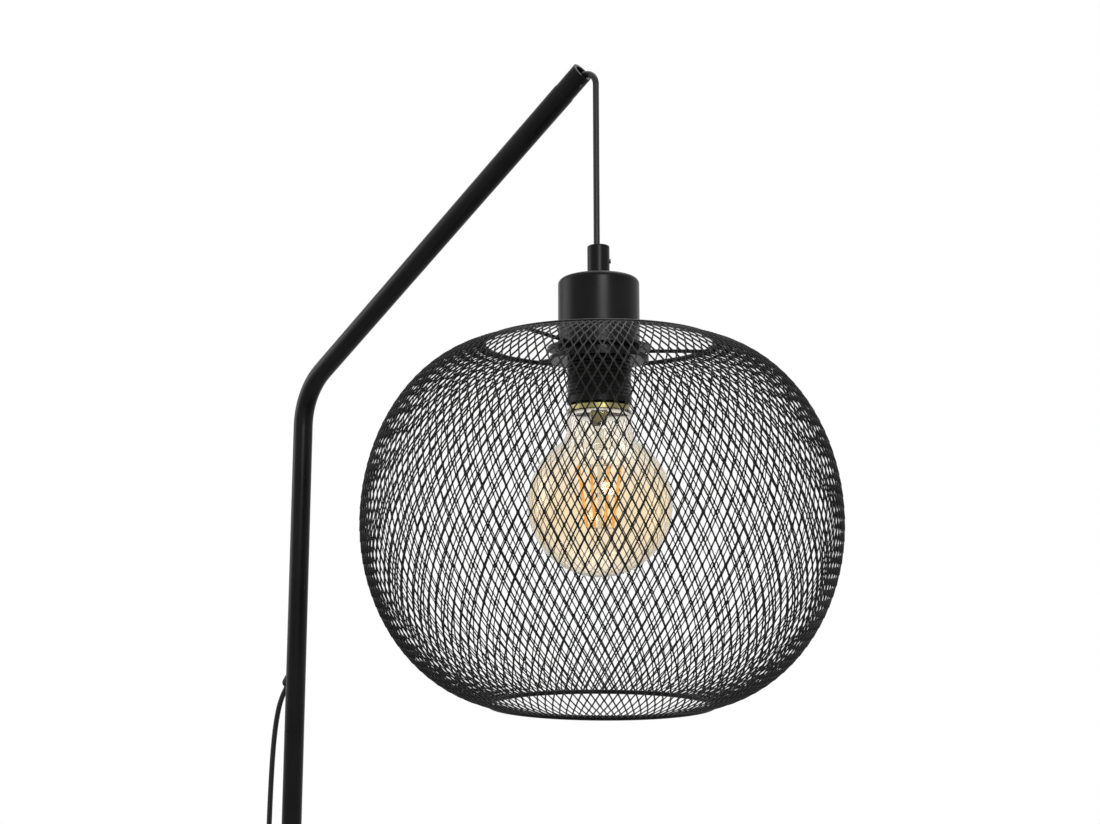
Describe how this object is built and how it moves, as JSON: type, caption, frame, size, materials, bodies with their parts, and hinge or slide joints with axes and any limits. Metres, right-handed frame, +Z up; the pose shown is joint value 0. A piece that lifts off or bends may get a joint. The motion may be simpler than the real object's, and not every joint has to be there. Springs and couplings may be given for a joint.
{
  "type": "floor lamp",
  "caption": "Floor lamp with a round foot, a sectional pole with an inclined arm, and a round expanded-metal cage shade that hangs on its cable with a globe bulb inside.",
  "frame": {"origin": "middle of the foot's underside, on the floor and on the pole's axis", "axes": "+Z up the pole, +X along the arm from the pole towards the shade, +Y completes a right-handed frame"},
  "size_m": [0.9899, 0.328, 1.5064],
  "materials": {
    "black_metal": "satin black powder coat",
    "cage_mesh": "satin black powder coat on expanded metal",
    "black_plastic": "satin black moulding",
    "black_rubber": "soft black",
    "cord": "smooth black sheath",
    "black_screw": "blackened",
    "bare_steel": "zinc plated",
    "brass": "plain",
    "dark_insulator": "dark vitrified",
    "amber_glass": "clear amber",
    "clear_glass": "clear",
    "filament": "phosphor coated strip",
    "foot_pad": "foam sheet",
    "plated_pins": "nickel plated"
  },
  "bodies": {
    "stand": {"foot_plate": "black_metal", "foot_pad": "foot_pad", "foot_bolt": "bare_steel", "foot_washer": "bare_steel", "pole_insert": "bare_steel", "pole_lower": "black_metal", "pole_middle": "black_metal", "coupler_lower": "bare_steel", "coupler_upper": "bare_steel", "arm_tube": "black_metal", "arm_sleeve": "black_metal", "arm_bush": "black_plastic", "arm_set_screw": "black_screw", "cord_grommet": "black_rubber", "flex_in_arm": "cord", "flex_over_lip": "cord", "supply_cord": "cord", "switch_base": "black_plastic", "switch_cover": "black_plastic", "switch_mechanism": "black_plastic", "switch_reliefs": "black_rubber", "tail_cord": "cord", "cord_coil": "cord", "plug_cord": "cord", "plug_relief": "black_rubber", "plug_body": "black_plastic", "plug_pins": "plated_pins"},
    "flex_top": {"flex_knuckle": "cord"},
    "pendant": {"pendant_flex": "cord", "cord_grip": "black_plastic", "grip_screw": "black_screw", "grip_nipple": "bare_steel", "nipple_nut": "bare_steel", "lamp_cap": "black_metal", "spider_frame": "black_metal", "cage_mesh": "cage_mesh", "cage_top_rim": "black_metal", "cage_bottom_rim": "black_metal", "lampholder": "black_plastic", "holder_socket": "brass", "holder_contact": "brass", "shade_ring": "black_plastic", "bulb_glass": "amber_glass", "bulb_screw_cap": "brass", "bulb_insulator": "dark_insulator", "bulb_contact": "brass", "bulb_stem": "clear_glass", "bulb_filaments": "filament", "filament_supports": "bare_steel"},
    "foot_switch_button": {"switch_button": "black_plastic"}
  },
  "joints": [
    {"name": "shade_swing_sideways", "type": "hinge", "parent": "stand", "child": "flex_top", "pos_m": [0.322, 0, 1.48752], "axis": [1, 0, 0], "range_deg": [-25, 25]},
    {"name": "shade_swing_along_arm", "type": "hinge", "parent": "flex_top", "child": "pendant", "pos_m": [0.322, 0, 1.48752], "axis": [0, 1, 0], "range_deg": [-30, 18]},
    {"name": "switch_press", "type": "slide", "parent": "stand", "child": "foot_switch_button", "axis": [0, 0, -1], "range_m": [0, 0.0025], "stiffness_N_per_m": 600, "springref_m": -0.001}
  ]
}
